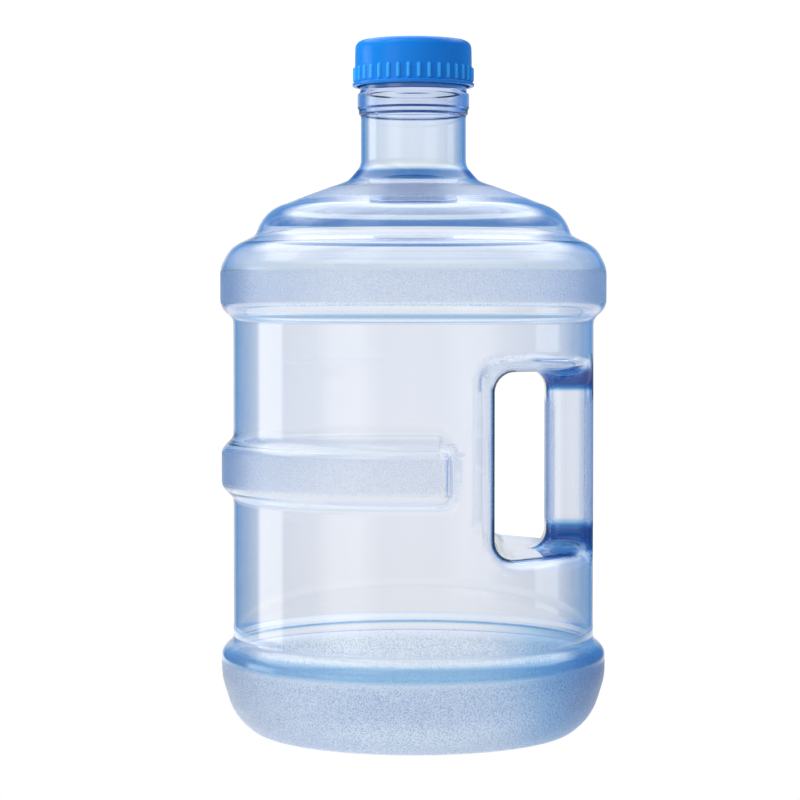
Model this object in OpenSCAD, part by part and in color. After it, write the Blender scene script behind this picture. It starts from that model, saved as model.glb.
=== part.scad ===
// Round water jug: a one-piece blown shell with a hollow side grip, a ribbed
// screw cap with a plug skirt, and a sealing ring under the cap. The shell is one
// moulding, and five nodes hold it: foot, waist, grip, shoulder and neck. They meet
// face to face on flat planes, so that each is a simple hollow shape.
// Millimetres. The origin is the centre of the base, on the floor. +Z is up and
// the grip is towards +X.

/* [Shell] */
// Outer radius of the straight wall
wall_r = 94.6; // [92:0.2:96]
// Outer radius of the band above the straight wall
top_band_r = 101.3; // [99:0.1:103]
// Outer radius of the band around the foot
foot_band_r = 100.8; // [99:0.1:103]
// Thickness of the blown wall
wall = 1.8; // [1.5:0.1:2.4]
// Height of the hollow in the middle of the base
push_up = 7; // [4:0.5:9]

/* [Grip band] */
// How far the middle band stands out from the wall
band_out = 6.1; // [3:0.1:6.5]
// Height of the middle of the band
band_z = 139.3; // [134:0.1:144]
// Full height of the band where it meets the wall
band_h = 32; // [26:0.5:36]
// Height of the band's flat face
band_face_h = 20; // [12:0.5:22]
// Angle by which each end of the band passes the Y axis
band_past = 13; // [8:0.5:14]

/* [Side grip] */
// Distance from the axis to the wall behind the fingers
gap_x = 40; // [36:0.5:44]
// Distance from the axis to the inner side of the grip
grip_x = 69.5; // [66:0.5:72]
// Width of the grip across Y
grip_w = 33; // [28:0.5:38]
// Height of the floor of the finger gap
gap_z0 = 96.8; // [94:0.2:100]
// Height of the roof of the finger gap
gap_z1 = 190.5; // [186:0.5:194]
// Radius of the corners of the finger gap
gap_corner = 10; // [8:0.5:14]

/* [Neck] */
// Outer radius of the neck tube
neck_r = 27.6; // [27.2:0.1:27.8]
// Outer radius of the threaded part
finish_r = 28; // [27.8:0.1:28.1]
// Outer radius of the collar on the neck
collar_r = 29.3; // [29:0.1:30]
// Height of the neck's rim above the floor
rim_z = 359.5; // [359:0.1:359.6]

/* [Cap] */
// Outer radius over the ribs
cap_r = 31.8; // [31.6:0.1:32.4]
// Outer radius of the smooth upper part
cap_top_r = 30.6; // [30.6:0.1:31]
// Height of the cap's lower edge
cap_z0 = 338.5; // [338:0.1:339]
// Height of the cap's top face
cap_z1 = 362.6; // [362.4:0.1:363.4]
// Number of ribs around the cap
rib_count = 36; // [24:1:44]
// Height of the plug skirt's lower edge
plug_z0 = 337; // [334:0.5:345]
// Outer radius of the plug skirt
plug_r = 25.4; // [24.4:0.1:25.4]

/* [Thread] */
// Rise in one turn
pitch = 6; // [5.5:0.1:6.5]
// Turns of the neck's ridge
neck_turns = 1.5; // [1:0.25:1.75]
// Turns of the cap's ridge
cap_turns = 1.2; // [1:0.1:1.3]

/* [Hidden] */
$fn = 96;
arc_step = 7;            // degrees between points on a rounded corner

collar_z0 = 323.4;       // underside of the neck collar
collar_z1 = 335;         // top of the neck collar
collar_step = 3;         // height of the collar's thinner lower step
rim_round = 0.8;         // rounding of the neck's rim

reach = 130;             // past the shell on every side
grip_y = grip_w / 2;

shell_colour = [0.72, 0.84, 0.95, 0.5];
free_z0 = gap_z0 + gap_corner;   // the grip stands free of the waist from here
free_z1 = gap_z1 - gap_corner;   // up to here
free_x = (gap_x + grip_x) / 2;
neck_z0 = 306;           // the neck tube is straight from here

cap_skin = 1.7;          // thickness of the cap's top
skirt_r = 29.8;          // inside of the cap's skirt
plug_wall = 1.4;
cap_under = cap_z1 - cap_skin;
gasket_gap = 0.06;       // between the gasket and the rim, and under the cap
rib_z0 = cap_z0 + 2.2;
rib_z1 = cap_z0 + 13.6;
rib_w = 1.4;
rib_out = 0.95;          // how far a rib stands out

ridge_base = 2.6;        // axial width of a thread ridge at its root
ridge_crest = 1.2;       // axial width at its crest
ridge_h = 1.2;           // radial height
ridge_root = 0.4;        // how deep a ridge is set into its wall
ridge_step = 12;         // degrees between sections
neck_ridge_z = 343.6;    // centre of the neck's ridge where it starts
cap_ridge_start = 60;    // degrees round from the neck ridge's start

// The shell from the middle of the base up to the neck: [radius, height, rounding].
shell_path = [
    [0, push_up, 0], [56, push_up, 7], [65, 0, 5], [82.5, 0, 12], [94.5, 9.5, 30],
    [foot_band_r, 30, 30], [foot_band_r, 43.8, 7], [wall_r, 49.5, 4],
    [wall_r, 217, 6], [top_band_r, 222.6, 9], [top_band_r, 244, 16], [95.8, 254.4, 14],
    [82.8, 260.7, 5], [78.6, 273, 20], [34.2, 289.4, 8], [neck_r, 297, 9],
    [neck_r, collar_z0, 0]
];

// The neck above its tube, as points.
neck_path = [
    [collar_r - 0.8, collar_z0], [collar_r - 0.8, collar_z0 + collar_step],
    [collar_r, collar_z0 + collar_step + 0.5], [collar_r, collar_z1 - 0.7],
    [collar_r - 0.5, collar_z1], [finish_r, collar_z1 + 0.5],
    [finish_r, rim_z - rim_round], [finish_r - rim_round, rim_z],
    [0, rim_z]
];

function unit(v) = v / norm(v);

// Points of the arc of radius r that rounds the corner at p, between a and b.
function corner_arc(a, p, b, r) =
    let (
        u = unit(a - p),
        w = unit(b - p),
        half = acos(u * w) / 2,
        centre = p + unit(u + w) * r / sin(half),
        s = p + u * r / tan(half) - centre,
        e = p + w * r / tan(half) - centre,
        from = atan2(s.y, s.x),
        turn = (atan2(e.y, e.x) - from + 540) % 360 - 180,
        n = max(2, ceil(abs(turn) / arc_step))
    )
    [for (i = [0:n]) centre + r * [cos(from + turn * i / n), sin(from + turn * i / n)]];

function xy(p) = [p.x, p.y];

// The path with each of its corners rounded by its third number.
function rounded(path) = [
    for (i = [0:len(path) - 1])
        each (path[i].z == 0
            ? [xy(path[i])]
            : corner_arc(xy(path[i - 1]), xy(path[i]), xy(path[i + 1]), path[i].z))
];

// The unit vector across the leg that starts at point i, pointing into the jug.
function leg_normal(path, i) =
    let (d = unit(xy(path[i + 1]) - xy(path[i]))) [-d.y, d.x];

// The path moved inwards by d, with its roundings kept on the same centres.
function inset(path, d) = [
    for (i = [0:len(path) - 1])
        let (
            last = len(path) - 1,
            n0 = leg_normal(path, max(0, i - 1)),
            n1 = leg_normal(path, min(last - 1, i)),
            side = n0.x * n1.y - n0.y * n1.x,
            p = xy(path[i]) + (n0 + n1) * d / (1 + n0 * n1)
        )
        [p.x, p.y, path[i].z == 0 ? 0 : path[i].z - sign(side) * d]
];

bore_r = neck_r - wall;

module blown_solid() {
    rotate_extrude() polygon(concat(rounded(shell_path), neck_path));
}

module cavity_solid() {
    rotate_extrude()
        polygon(concat(rounded(inset(shell_path, wall)), [[bore_r, rim_z + 1], [0, rim_z + 1]]));
}

// A rectangle from corner a to corner b with its corners rounded.
module round_rect(a, b, r) {
    translate([a.x + r, a.y]) square([b.x - a.x - 2 * r, b.y - a.y]);
    translate([a.x, a.y + r]) square([b.x - a.x, b.y - a.y - 2 * r]);
    for (x = [a.x + r, b.x - r], y = [a.y + r, b.y - r])
        translate([x, y]) circle(r);
}

// Everything cut away around the grip: the finger gap right through, and a
// pocket on each side of the grip. grow moves every face into the jug.
module grip_cut(grow) {
    rotate([90, 0, 0])
        translate([0, 0, -reach])
            linear_extrude(2 * reach)
                round_rect([gap_x - grow, gap_z0 - grow], [grip_x + grow, gap_z1 + grow],
                           gap_corner);
    for (side = [-1, 1])
        translate([0, side * (grip_y - grow + reach / 2), 0])
            rotate([90, 0, 0])
                translate([0, 0, -reach / 2])
                    linear_extrude(reach)
                        round_rect([gap_x - grow, gap_z0 - grow], [gap_x + reach, gap_z1 + grow],
                                   gap_corner);
}

// The raised band: a ring section cut to an outline with rounded ends. drop
// moves its faces into the jug, to leave a wall behind them.
module grip_band(drop) {
    past = band_past - asin(drop / wall_r);
    face_r = wall_r + band_out - drop;
    half = band_h / 2 - drop;
    face = band_face_h / 2 - drop / 2;
    intersection() {
        rotate([0, 0, 90 - past])
            rotate_extrude(angle = 180 + 2 * past)
                polygon([[wall_r - 4, band_z - half - 1], [wall_r, band_z - half],
                         [face_r, band_z - face], [face_r, band_z + face],
                         [wall_r, band_z + half], [wall_r - 4, band_z + half + 1]]);
        rotate([90, 0, 0])
            translate([0, 0, -reach])
                linear_extrude(2 * reach)
                    round_rect([-reach, band_z - half - 2],
                               [wall_r * sin(past), band_z + half + 2], 8);
    }
}

// A helical ridge: a trapezoid carried round and up, thinning at both ends.
// root and crest are radii, and z is the height of its centre where it starts.
module ridge(root, crest, z, start, turns) {
    n = round(turns * 360 / ridge_step);
    pts = [
        for (i = [0:n])
            let (
                a = start + i * turns * 360 / n,
                h = z + pitch * a / 360,
                fade = min(1, 0.15 + i / 4, 0.15 + (n - i) / 4),
                top = root + (crest - root) * fade
            )
            each [
                [root * cos(a), root * sin(a), h - ridge_base / 2],
                [top * cos(a), top * sin(a), h - ridge_crest / 2],
                [top * cos(a), top * sin(a), h + ridge_crest / 2],
                [root * cos(a), root * sin(a), h + ridge_base / 2]
            ]
    ];
    sides = [
        for (i = [0:n - 1], k = [0:3])
            let (a = 4 * i + k, b = 4 * i + (k + 1) % 4)
            each (crest > root
                ? [[a, b, b + 4], [a, b + 4, a + 4]]
                : [[a, b + 4, b], [a, a + 4, b + 4]])
    ];
    first = crest > root ? [3, 2, 1, 0] : [0, 1, 2, 3];
    last = crest > root ? [0, 1, 2, 3] : [3, 2, 1, 0];
    polyhedron(pts, concat(sides, [first, [for (k = last) 4 * n + k]]), convexity = 6);
}

module neck_ridge() {
    ridge(finish_r - ridge_root, finish_r + ridge_h, neck_ridge_z, 0, neck_turns);
}

// The whole blown moulding.
module blown_shell() {
    difference() {
        union() {
            blown_solid();
            grip_band(0);
        }
        difference() {
            union() {
                cavity_solid();
                grip_band(wall);
            }
            grip_cut(wall);
        }
        grip_cut(0);
    }
}

// What the moulding has between two heights and two distances along X.
module shell_between(z0, z1, x0 = -reach, x1 = reach) {
    color(shell_colour)
        intersection() {
            blown_shell();
            translate([x0, -reach, z0]) cube([x1 - x0, 2 * reach, z1 - z0]);
        }
}

module shell_foot() {
    shell_between(-1, free_z0);
}

module shell_waist() {
    shell_between(free_z0, free_z1, x1 = free_x);
}

module side_grip() {
    shell_between(free_z0, free_z1, x0 = free_x);
}

module shell_shoulder() {
    shell_between(free_z1, neck_z0);
}

module shell_neck() {
    shell_between(neck_z0, rim_z + 1);
    color(shell_colour) neck_ridge();
}

module screw_cap() {
    lip_h = 1.8;
    top_round = 4.2;
    body_r = cap_r - rib_out;
    color([0.02, 0.5, 0.86]) {
        rotate_extrude()
            polygon(concat(
                [[0, cap_under], [plug_r - plug_wall, cap_under],
                 [plug_r - plug_wall, plug_z0 + 1], [plug_r - 0.9, plug_z0],
                 [plug_r - 0.4, plug_z0], [plug_r, plug_z0 + 1.5], [plug_r, cap_under],
                 [skirt_r, cap_under], [skirt_r, cap_z0], [cap_r + 0.2, cap_z0],
                 [cap_r + 0.2, cap_z0 + lip_h], [body_r, cap_z0 + lip_h + 0.5],
                 [body_r, rib_z1 + 0.4]],
                [for (a = [0:15:90])
                    [cap_top_r - top_round + top_round * cos(a),
                     cap_z1 - top_round + top_round * sin(a)]],
                [[0, cap_z1]]));
        for (i = [0:rib_count - 1])
            rotate([0, 0, i * 360 / rib_count])
                translate([body_r - 0.6, -rib_w / 2, rib_z0])
                    cube([rib_out + 0.6, rib_w, rib_z1 - rib_z0]);
        ridge(skirt_r + ridge_root, skirt_r - ridge_h, neck_ridge_z - pitch / 2,
              cap_ridge_start, cap_turns);
    }
}

module cap_gasket() {
    color([0.93, 0.94, 0.95])
        translate([0, 0, rim_z + gasket_gap])
            difference() {
                cylinder(r = finish_r, h = cap_under - rim_z - 2 * gasket_gap);
                translate([0, 0, -1]) cylinder(r = bore_r, h = 5);
            }
}

shell_foot();
shell_waist();
side_grip();
shell_shoulder();
shell_neck();
screw_cap();
cap_gasket();
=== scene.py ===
"""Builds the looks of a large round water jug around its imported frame.

The shell is one closed surface with an outer and an inner side. Its outer side is
where a distance field is zero, and its inner side is where the same field is minus
the wall's thickness, so the grip, the band and the foot are all hollow. The cap and
the sealing ring are profiles turned about the jug's axis. Metres throughout, in the
frame's own axes: +Z is up, and the grip is towards +X.
"""

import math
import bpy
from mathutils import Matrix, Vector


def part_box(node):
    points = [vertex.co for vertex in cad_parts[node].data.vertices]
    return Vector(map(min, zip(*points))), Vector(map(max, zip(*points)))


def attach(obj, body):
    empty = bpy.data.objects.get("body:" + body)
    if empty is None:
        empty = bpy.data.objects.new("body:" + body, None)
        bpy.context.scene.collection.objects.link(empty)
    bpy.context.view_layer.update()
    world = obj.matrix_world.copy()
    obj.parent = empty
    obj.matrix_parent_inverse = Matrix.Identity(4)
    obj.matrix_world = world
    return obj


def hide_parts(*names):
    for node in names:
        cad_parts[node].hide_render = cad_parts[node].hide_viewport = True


bl_info = {
    "name": "Water Jug",
    "version": (1, 0, 0),
    "blender": (4, 5, 0),
    "location": "View3D > Sidebar > Water Jug",
    "description": "Clear blown jug with a side grip and a ribbed screw cap",
    "category": "Add Mesh",
}

import bpy
import numpy as np
from bpy.props import FloatProperty, FloatVectorProperty, IntProperty, PointerProperty

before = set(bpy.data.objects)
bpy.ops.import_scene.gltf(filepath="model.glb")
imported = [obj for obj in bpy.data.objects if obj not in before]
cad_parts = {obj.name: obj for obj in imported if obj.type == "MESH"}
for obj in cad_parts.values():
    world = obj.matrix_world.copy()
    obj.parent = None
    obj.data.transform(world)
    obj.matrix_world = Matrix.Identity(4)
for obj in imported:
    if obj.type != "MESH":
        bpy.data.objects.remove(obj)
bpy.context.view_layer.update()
SHELL_NODES = ("shell_foot", "shell_waist", "side_grip", "shell_shoulder", "shell_neck")
SHOULDER_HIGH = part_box("shell_shoulder")[1]
NECK_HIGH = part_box("shell_neck")[1]
CAP_LOW, CAP_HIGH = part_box("screw_cap")
GASKET_LOW, GASKET_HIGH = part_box("cap_gasket")

MM = 0.001


# ---------------------------------------------------------------- properties


def length(name, description, default):
    """A size in metres, as a property."""
    return FloatProperty(name=name, description=description, default=default,
                         unit="LENGTH", precision=4)


def angle(name, description, degrees):
    """An angle, given in degrees, as a property."""
    return FloatProperty(name=name, description=description, subtype="ANGLE",
                         default=math.radians(degrees))


def colour(name, description, default):
    """A linear colour, as a property."""
    return FloatVectorProperty(name=name, description=description, default=default,
                               size=3, subtype="COLOR", min=0.0, max=1.0)


class JugShellSizes(bpy.types.PropertyGroup):
    """Sizes of the blown shell."""

    wall_radius: length("Wall radius", "Outer radius of the straight wall", 94.6 * MM)
    top_band_radius: length("Top band radius", "Outer radius of the band above the wall",
                            SHOULDER_HIGH.x)
    foot_band_radius: length("Foot band radius", "Outer radius of the foot's band", 100.8 * MM)
    wall: length("Wall thickness", "Thickness of the blown wall", 1.8 * MM)
    push_up: length("Push-up", "Height of the hollow in the middle of the base", 7 * MM)
    neck_radius: length("Neck radius", "Outer radius of the neck tube", 27.6 * MM)
    finish_radius: length("Finish radius", "Outer radius of the threaded part", 28 * MM)
    collar_radius: length("Collar radius", "Outer radius of the neck's collar", 29.3 * MM)
    rim_height: length("Rim height", "Height of the neck's rim", NECK_HIGH.z)
    band_out: length("Band height", "How far the grip band stands out", 6.1 * MM)
    band_middle: length("Band middle", "Height of the grip band above the floor", 139.3 * MM)
    band_width: length("Band width", "Width of the grip band at the wall", 32 * MM)
    band_face: length("Band face", "Width of the grip band's flat face", 20 * MM)
    band_past: angle("Band ends", "How far the band's ends pass the Y axis", 13)
    gap_wall: length("Gap wall", "Distance from the axis to the wall behind the fingers",
                     40 * MM)
    grip_inner: length("Grip inner side", "Distance from the axis to the grip", 69.5 * MM)
    grip_width: length("Grip width", "Width of the grip across Y", 33 * MM)
    gap_floor: length("Gap floor", "Height of the finger gap's floor", 96.8 * MM)
    gap_roof: length("Gap roof", "Height of the finger gap's roof", 190.5 * MM)
    gap_corner: length("Gap corner", "Radius of the finger gap's corners", 10 * MM)
    pitch: length("Thread pitch", "Rise of the thread in one turn", 6 * MM)


class JugCapSizes(bpy.types.PropertyGroup):
    """Sizes of the cap and the sealing ring."""

    lip_radius: length("Lip radius", "Outer radius of the cap's lower lip", CAP_HIGH.x)
    rib_radius: length("Rib radius", "Outer radius over the ribs", CAP_HIGH.x - 0.2 * MM)
    top_radius: length("Top radius", "Radius of the smooth upper part", 30.6 * MM)
    low: length("Lower edge", "Height of the cap's lower edge", 338.5 * MM)
    high: length("Top", "Height of the cap's top face", CAP_HIGH.z)
    plug_low: length("Plug edge", "Height of the plug skirt's lower edge", CAP_LOW.z)
    plug_radius: length("Plug radius", "Outer radius of the plug skirt", 25.4 * MM)
    skirt_radius: length("Skirt radius", "Inner radius of the cap's skirt", 29.8 * MM)
    ribs: IntProperty(name="Ribs", description="Ribs around the cap", default=36, min=8, max=72)


class JugFinish(bpy.types.PropertyGroup):
    """Colours of the jug's materials."""

    shell_tint: colour("Shell depth colour", "Colour that thick shell plastic turns light",
                       (0.10, 0.42, 0.96))
    shell_depth: FloatProperty(name="Shell depth", default=60.0, min=0.0,
                               description="How strongly the shell colours light, per metre")
    cap_colour: colour("Cap colour", "Colour of the cap's plastic", (0.0, 0.165, 0.54))
    gasket_colour: colour("Ring colour", "Colour of the sealing ring", (0.86, 0.88, 0.9))


class JugStudio(bpy.types.PropertyGroup):
    """The camera."""

    distance: length("Distance", "From the camera to the jug's axis", 1.316)
    eye_height: length("Eye height", "Height of the camera", 0.2195)
    lens: FloatProperty(name="Lens", description="Focal length in millimetres", default=112.5)


# ------------------------------------------------------------ distance field


def unit(v):
    """The vector v scaled to length one."""
    return v / np.hypot(v[0], v[1])


def corner_arc(a, p, b, radius):
    """The arc that rounds the corner at p between a and b.

    Its centre lies on the corner's bisector at radius over the sine of half the
    corner's angle. Returns the centre, the two ends and the sine of its turn.
    """
    u, w = unit(a - p), unit(b - p)
    half = math.acos(float(u @ w)) / 2
    centre = p + unit(u + w) * radius / math.sin(half)
    reach = radius / math.tan(half)
    turn = u[1] * w[0] - u[0] * w[1]
    return centre, p + u * reach, p + w * reach, turn


class Outline:
    """A path of [radius, height, rounding] as exact lines and arcs.

    The solid is on the left of the path, so its distance is negative there.
    """

    def __init__(self, path):
        points = np.array([p[:2] for p in path], float)
        starts, ends = [points[0]], []
        self.arcs = []
        for i in range(1, len(path) - 1):
            arc = corner_arc(points[i - 1], points[i], points[i + 1], path[i][2])
            centre, first, second, turn = arc
            middle = unit(points[i] - centre)
            span = float(unit(first - centre) @ middle)
            self.arcs.append((centre, path[i][2], middle, span, math.copysign(1.0, turn)))
            ends.append(first)
            starts.append(second)
        ends.append(points[-1])
        self.lines = list(zip(starts, ends))

    def distance(self, r, z):
        """Signed distance from the points (r, z): the nearest line or arc's own."""
        best = np.full(np.shape(r), np.inf)
        signed = np.full(np.shape(r), np.inf)
        for a, b in self.lines:
            d = b - a
            t = np.clip(((r - a[0]) * d[0] + (z - a[1]) * d[1]) / (d @ d), 0.0, 1.0)
            away = np.hypot(r - a[0] - t * d[0], z - a[1] - t * d[1])
            side = np.where((r - a[0]) * d[1] - (z - a[1]) * d[0] < 0, -1.0, 1.0)
            near = away < best
            best = np.where(near, away, best)
            signed = np.where(near, away * side, signed)
        for centre, radius, middle, span, bulge in self.arcs:
            v, w = r - centre[0], z - centre[1]
            far = np.hypot(v, w)
            away = np.abs(far - radius)
            near = (v * middle[0] + w * middle[1] >= far * span) & (away <= best)
            best = np.where(near, away, best)
            signed = np.where(near, (far - radius) * bulge, signed)
        return signed


def round_rect(x, y, low, high, radius):
    """Signed distance to a rectangle from low to high with rounded corners."""
    qx = np.abs(x - (low[0] + high[0]) / 2) - (high[0] - low[0]) / 2 + radius
    qy = np.abs(y - (low[1] + high[1]) / 2) - (high[1] - low[1]) / 2 + radius
    outside = np.hypot(np.maximum(qx, 0), np.maximum(qy, 0))
    return outside + np.minimum(np.maximum(qx, qy), 0) - radius


def overlap_round(a, b, radius):
    """Distance to what two solids share, with the edge between them rounded.

    Within the radius of both faces it is the distance from a cylinder that touches
    both; elsewhere it is the larger of the two distances.
    """
    corner = np.hypot(np.maximum(a + radius, 0), np.maximum(b + radius, 0))
    return np.minimum(-radius, np.maximum(a, b)) + corner


def soft_clamp(u, top, blend):
    """u held between 0 and top, with each corner rounded by a parabola blend wide."""
    h = np.maximum(blend - np.abs(u), 0) / blend
    low = np.maximum(u, 0) + h * h * blend / 4
    h = np.maximum(blend - np.abs(low - top), 0) / blend
    return np.minimum(low, top) - h * h * blend / 4


def smooth_step(low, high, v):
    """0 below low and 1 above high, with a smooth cubic between."""
    t = np.clip((v - low) / (high - low), 0.0, 1.0)
    return t * t * (3 - 2 * t)


class ShellField:
    """Distance to the outside of the jug, negative inside it."""

    REACH = 0.3
    BAND_CORNER = 8 * MM
    BAND_BLEND = 2.2 * MM
    GRIP_ROUND = 9 * MM
    FLARE = 10 * MM
    EDGE_AT_WALL = 6.5 * MM
    EDGE_AT_GRIP = 9 * MM

    def __init__(self, sizes):
        self.s = sizes
        wall, top, foot = sizes.wall_radius, sizes.top_band_radius, sizes.foot_band_radius
        mm = [
            (0, sizes.push_up / MM, 0), (56, sizes.push_up / MM, 7), (65, 0, 5),
            (82.5, 0, 12), (94.5, 9.5, 30), (foot / MM, 30, 30), (foot / MM, 43.8, 7),
            (wall / MM, 49.5, 4), (wall / MM, 217, 6), (top / MM, 222.6, 9),
            (top / MM, 244, 16), (95.8, 254.4, 14), (82.8, 260.7, 5), (78.6, 273, 20),
            (34.2, 289.4, 8), (sizes.neck_radius / MM, 297, 9),
            (sizes.neck_radius / MM, 400, 0),
        ]
        self.outline = Outline([(r * MM, z * MM, f * MM) for r, z, f in mm])

    def band(self, x, y, z):
        """How far the grip band lifts the wall, and the slope that it gives it.

        The band's outline is a rounded rectangle on the unrolled wall. Inside it the
        wall rises at the flank's slope until it reaches the face.
        """
        s = self.s
        along = np.arctan2(y, -x) * s.wall_radius
        half = s.wall_radius * (math.pi / 2 + s.band_past)
        width = s.band_width / 2
        inside = -round_rect(along, z, (-half, s.band_middle - width),
                             (half, s.band_middle + width), self.BAND_CORNER)
        rise = s.band_out / ((s.band_width - s.band_face) / 2)
        step = 0.01 * MM
        lift = soft_clamp(inside * rise, s.band_out, self.BAND_BLEND)
        more = soft_clamp((inside + step) * rise, s.band_out, self.BAND_BLEND)
        return lift, (more - lift) / step

    def grip_cut(self, x, y, z):
        """Distance to the space around the grip: a slot towards +X, less the grip."""
        s = self.s
        slot = round_rect(x, z, (s.gap_wall, s.gap_floor), (s.gap_wall + self.REACH, s.gap_roof),
                          s.gap_corner)
        half = s.grip_width / 2
        grip = round_rect(x, y, (s.grip_inner, -half), (s.grip_inner + self.REACH, half),
                          self.GRIP_ROUND)
        return overlap_round(slot, -grip, self.FLARE)

    def value(self, x, y, z):
        """The field at the points (x, y, z)."""
        s = self.s
        r = np.hypot(x, y)
        lift, slope = self.band(x, y, z)
        turned = (self.outline.distance(r, z) - lift) / np.sqrt(1 + slope * slope)
        edge = self.EDGE_AT_WALL + (self.EDGE_AT_GRIP - self.EDGE_AT_WALL) * smooth_step(
            s.gap_wall, s.gap_wall + 20 * MM, x)
        return overlap_round(turned, -self.grip_cut(x, y, z), edge)

    def gradient(self, p, step=0.02 * MM):
        """The field's gradient at the rows of p, by central differences."""
        g = np.empty_like(p)
        for axis in range(3):
            d = np.zeros(3)
            d[axis] = step
            ahead, behind = p + d, p - d
            g[:, axis] = (self.value(*ahead.T) - self.value(*behind.T)) / (2 * step)
        return g


def graded(stops):
    """Grid values through (start, spacing) stops, evenly spaced in each stretch."""
    parts = []
    for (a, step), (b, _) in zip(stops, stops[1:]):
        parts.append(np.linspace(a, b, max(2, round((b - a) / step) + 1))[:-1])
    return np.concatenate(parts + [[stops[-1][0]]])


def level_surface(field, level, turns, radii, heights):
    """The surface where the field equals level, as one vertex in each grid cell it crosses.

    The grid runs round the Z axis (turns), out from it (radii) and up (heights). Each
    cell that the surface crosses gets a vertex at the mean of the crossings on its
    edges, and each grid edge that it crosses gets a quad between the four cells
    around it. The vertices are then moved along the gradient on to the surface.
    Returns points, quads, the fans that close it on the axis, and its top ring.
    """
    x = radii[None, :, None] * np.cos(turns)[:, None, None]
    y = radii[None, :, None] * np.sin(turns)[:, None, None]
    z = np.broadcast_to(heights[None, None, :], (len(turns), len(radii), len(heights)))
    value = field.value(np.broadcast_to(x, z.shape), np.broadcast_to(y, z.shape), z) - level
    value = np.concatenate([value, value[:1]])
    angles = np.append(turns, turns[0] + 2 * math.pi)
    shape = tuple(n - 1 for n in value.shape)
    axes = np.meshgrid(angles, radii, heights, indexing="ij")
    total = np.zeros(shape + (3,))
    count = np.zeros(shape)
    for axis in range(3):
        others = [a for a in range(3) if a != axis]
        for u in (0, 1):
            for v in (0, 1):
                first = [slice(None)] * 3
                first[axis] = slice(0, -1)
                first[others[0]] = slice(u, value.shape[others[0]] - 1 + u)
                first[others[1]] = slice(v, value.shape[others[1]] - 1 + v)
                second = list(first)
                second[axis] = slice(1, None)
                f0, f1 = value[tuple(first)], value[tuple(second)]
                cross = (f0 < 0) != (f1 < 0)
                t = np.where(cross, f0 / np.where(cross, f0 - f1, 1.0), 0.0)
                for k in range(3):
                    a, b = axes[k][tuple(first)], axes[k][tuple(second)]
                    total[..., k] += np.where(cross, a + t * (b - a), 0.0)
                count += cross
    active = count > 0
    index = np.full(shape, -1)
    index[active] = np.arange(int(active.sum()))
    polar = total[active] / count[active][:, None]
    points = np.stack([polar[:, 1] * np.cos(polar[:, 0]), polar[:, 1] * np.sin(polar[:, 0]),
                       polar[:, 2]], axis=1)
    for _ in range(4):
        g = field.gradient(points)
        off = field.value(*points.T) - level
        points -= g * (off / np.maximum((g * g).sum(1), 1e-9))[:, None]

    inside = value < 0
    back = np.roll(index, 1, axis=0)
    quads = []
    cross = inside[:-1, :-1, 1:-1] != inside[:-1, 1:, 1:-1]
    quads.append(np.stack([back[:, :, :-1][cross], index[:, :, :-1][cross],
                           index[:, :, 1:][cross], back[:, :, 1:][cross]], axis=1))
    cross = inside[:-1, 1:-1, :-1] != inside[:-1, 1:-1, 1:]
    quads.append(np.stack([back[:, :-1][cross], index[:, :-1][cross],
                           index[:, 1:][cross], back[:, 1:][cross]], axis=1))
    cross = inside[:-1, 1:-1, 1:-1] != inside[1:, 1:-1, 1:-1]
    quads.append(np.stack([index[:, :-1, :-1][cross], index[:, 1:, :-1][cross],
                           index[:, 1:, 1:][cross], index[:, :-1, 1:][cross]], axis=1))
    quads = np.concatenate(quads)

    fans = []
    for k in np.nonzero(inside[0, 0, :-1] != inside[0, 0, 1:])[0]:
        ring = index[:, 0, k]
        points = np.vstack([points, [[0.0, 0.0, points[ring, 2].mean()]]])
        fans.append(np.stack([ring, np.roll(ring, -1), np.full(len(ring), len(points) - 1)], 1))
    top = index[:, :, -1].max(axis=1)
    return points, quads, fans, top


def facing(points, faces, outward):
    """The faces, each turned so that its normal agrees with the outward vectors."""
    a, b, c = (points[faces[:, i]] for i in (0, 1, 2))
    normal = np.cross(b - a, c - a)
    if faces.shape[1] == 4:
        normal += np.cross(c - a, points[faces[:, 3]] - a)
    wrong = (normal * outward[faces].sum(1)).sum(1) < 0
    faces = faces.copy()
    faces[wrong] = faces[wrong][:, ::-1]
    return faces


# ------------------------------------------------------------ turned profiles


def along(a, b, step):
    """Points from a up to but not including b, about step apart."""
    a, b = np.array(a, float), np.array(b, float)
    n = max(1, round(float(np.hypot(*(b - a))) / step))
    return a + (b - a) * (np.arange(n) / n)[:, None]


def softened(path, step):
    """A path of [radius, height, rounding] as points: arcs at its corners, and lines
    between them with points about step apart."""
    points = [np.array(p[:2], float) for p in path]
    out, last = [], points[0]
    for i in range(1, len(path) - 1):
        if path[i][2] <= 0:
            out.append(along(last, points[i], step))
            last = points[i]
            continue
        centre, first, second, _ = corner_arc(points[i - 1], points[i], points[i + 1], path[i][2])
        out.append(along(last, first, step))
        a = math.atan2(*(first - centre)[::-1])
        turn = (math.atan2(*(second - centre)[::-1]) - a + 3 * math.pi) % (2 * math.pi) - math.pi
        n = max(3, round(abs(math.degrees(turn)) / 18) + 1)
        t = a + turn * np.linspace(0, 1, n)
        out.append(centre + path[i][2] * np.stack([np.cos(t), np.sin(t)], axis=1)[:-1])
        last = second
    out.append(along(last, points[-1], step))
    out.append(points[-1][None])
    return np.concatenate(out)


RIDGE_HEIGHT = 1.2 * MM   # how far a thread ridge stands out
RIDGE_BASE = 2.6 * MM     # its width along the axis at its root
RIDGE_CREST = 1.2 * MM    # and at its crest


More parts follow.
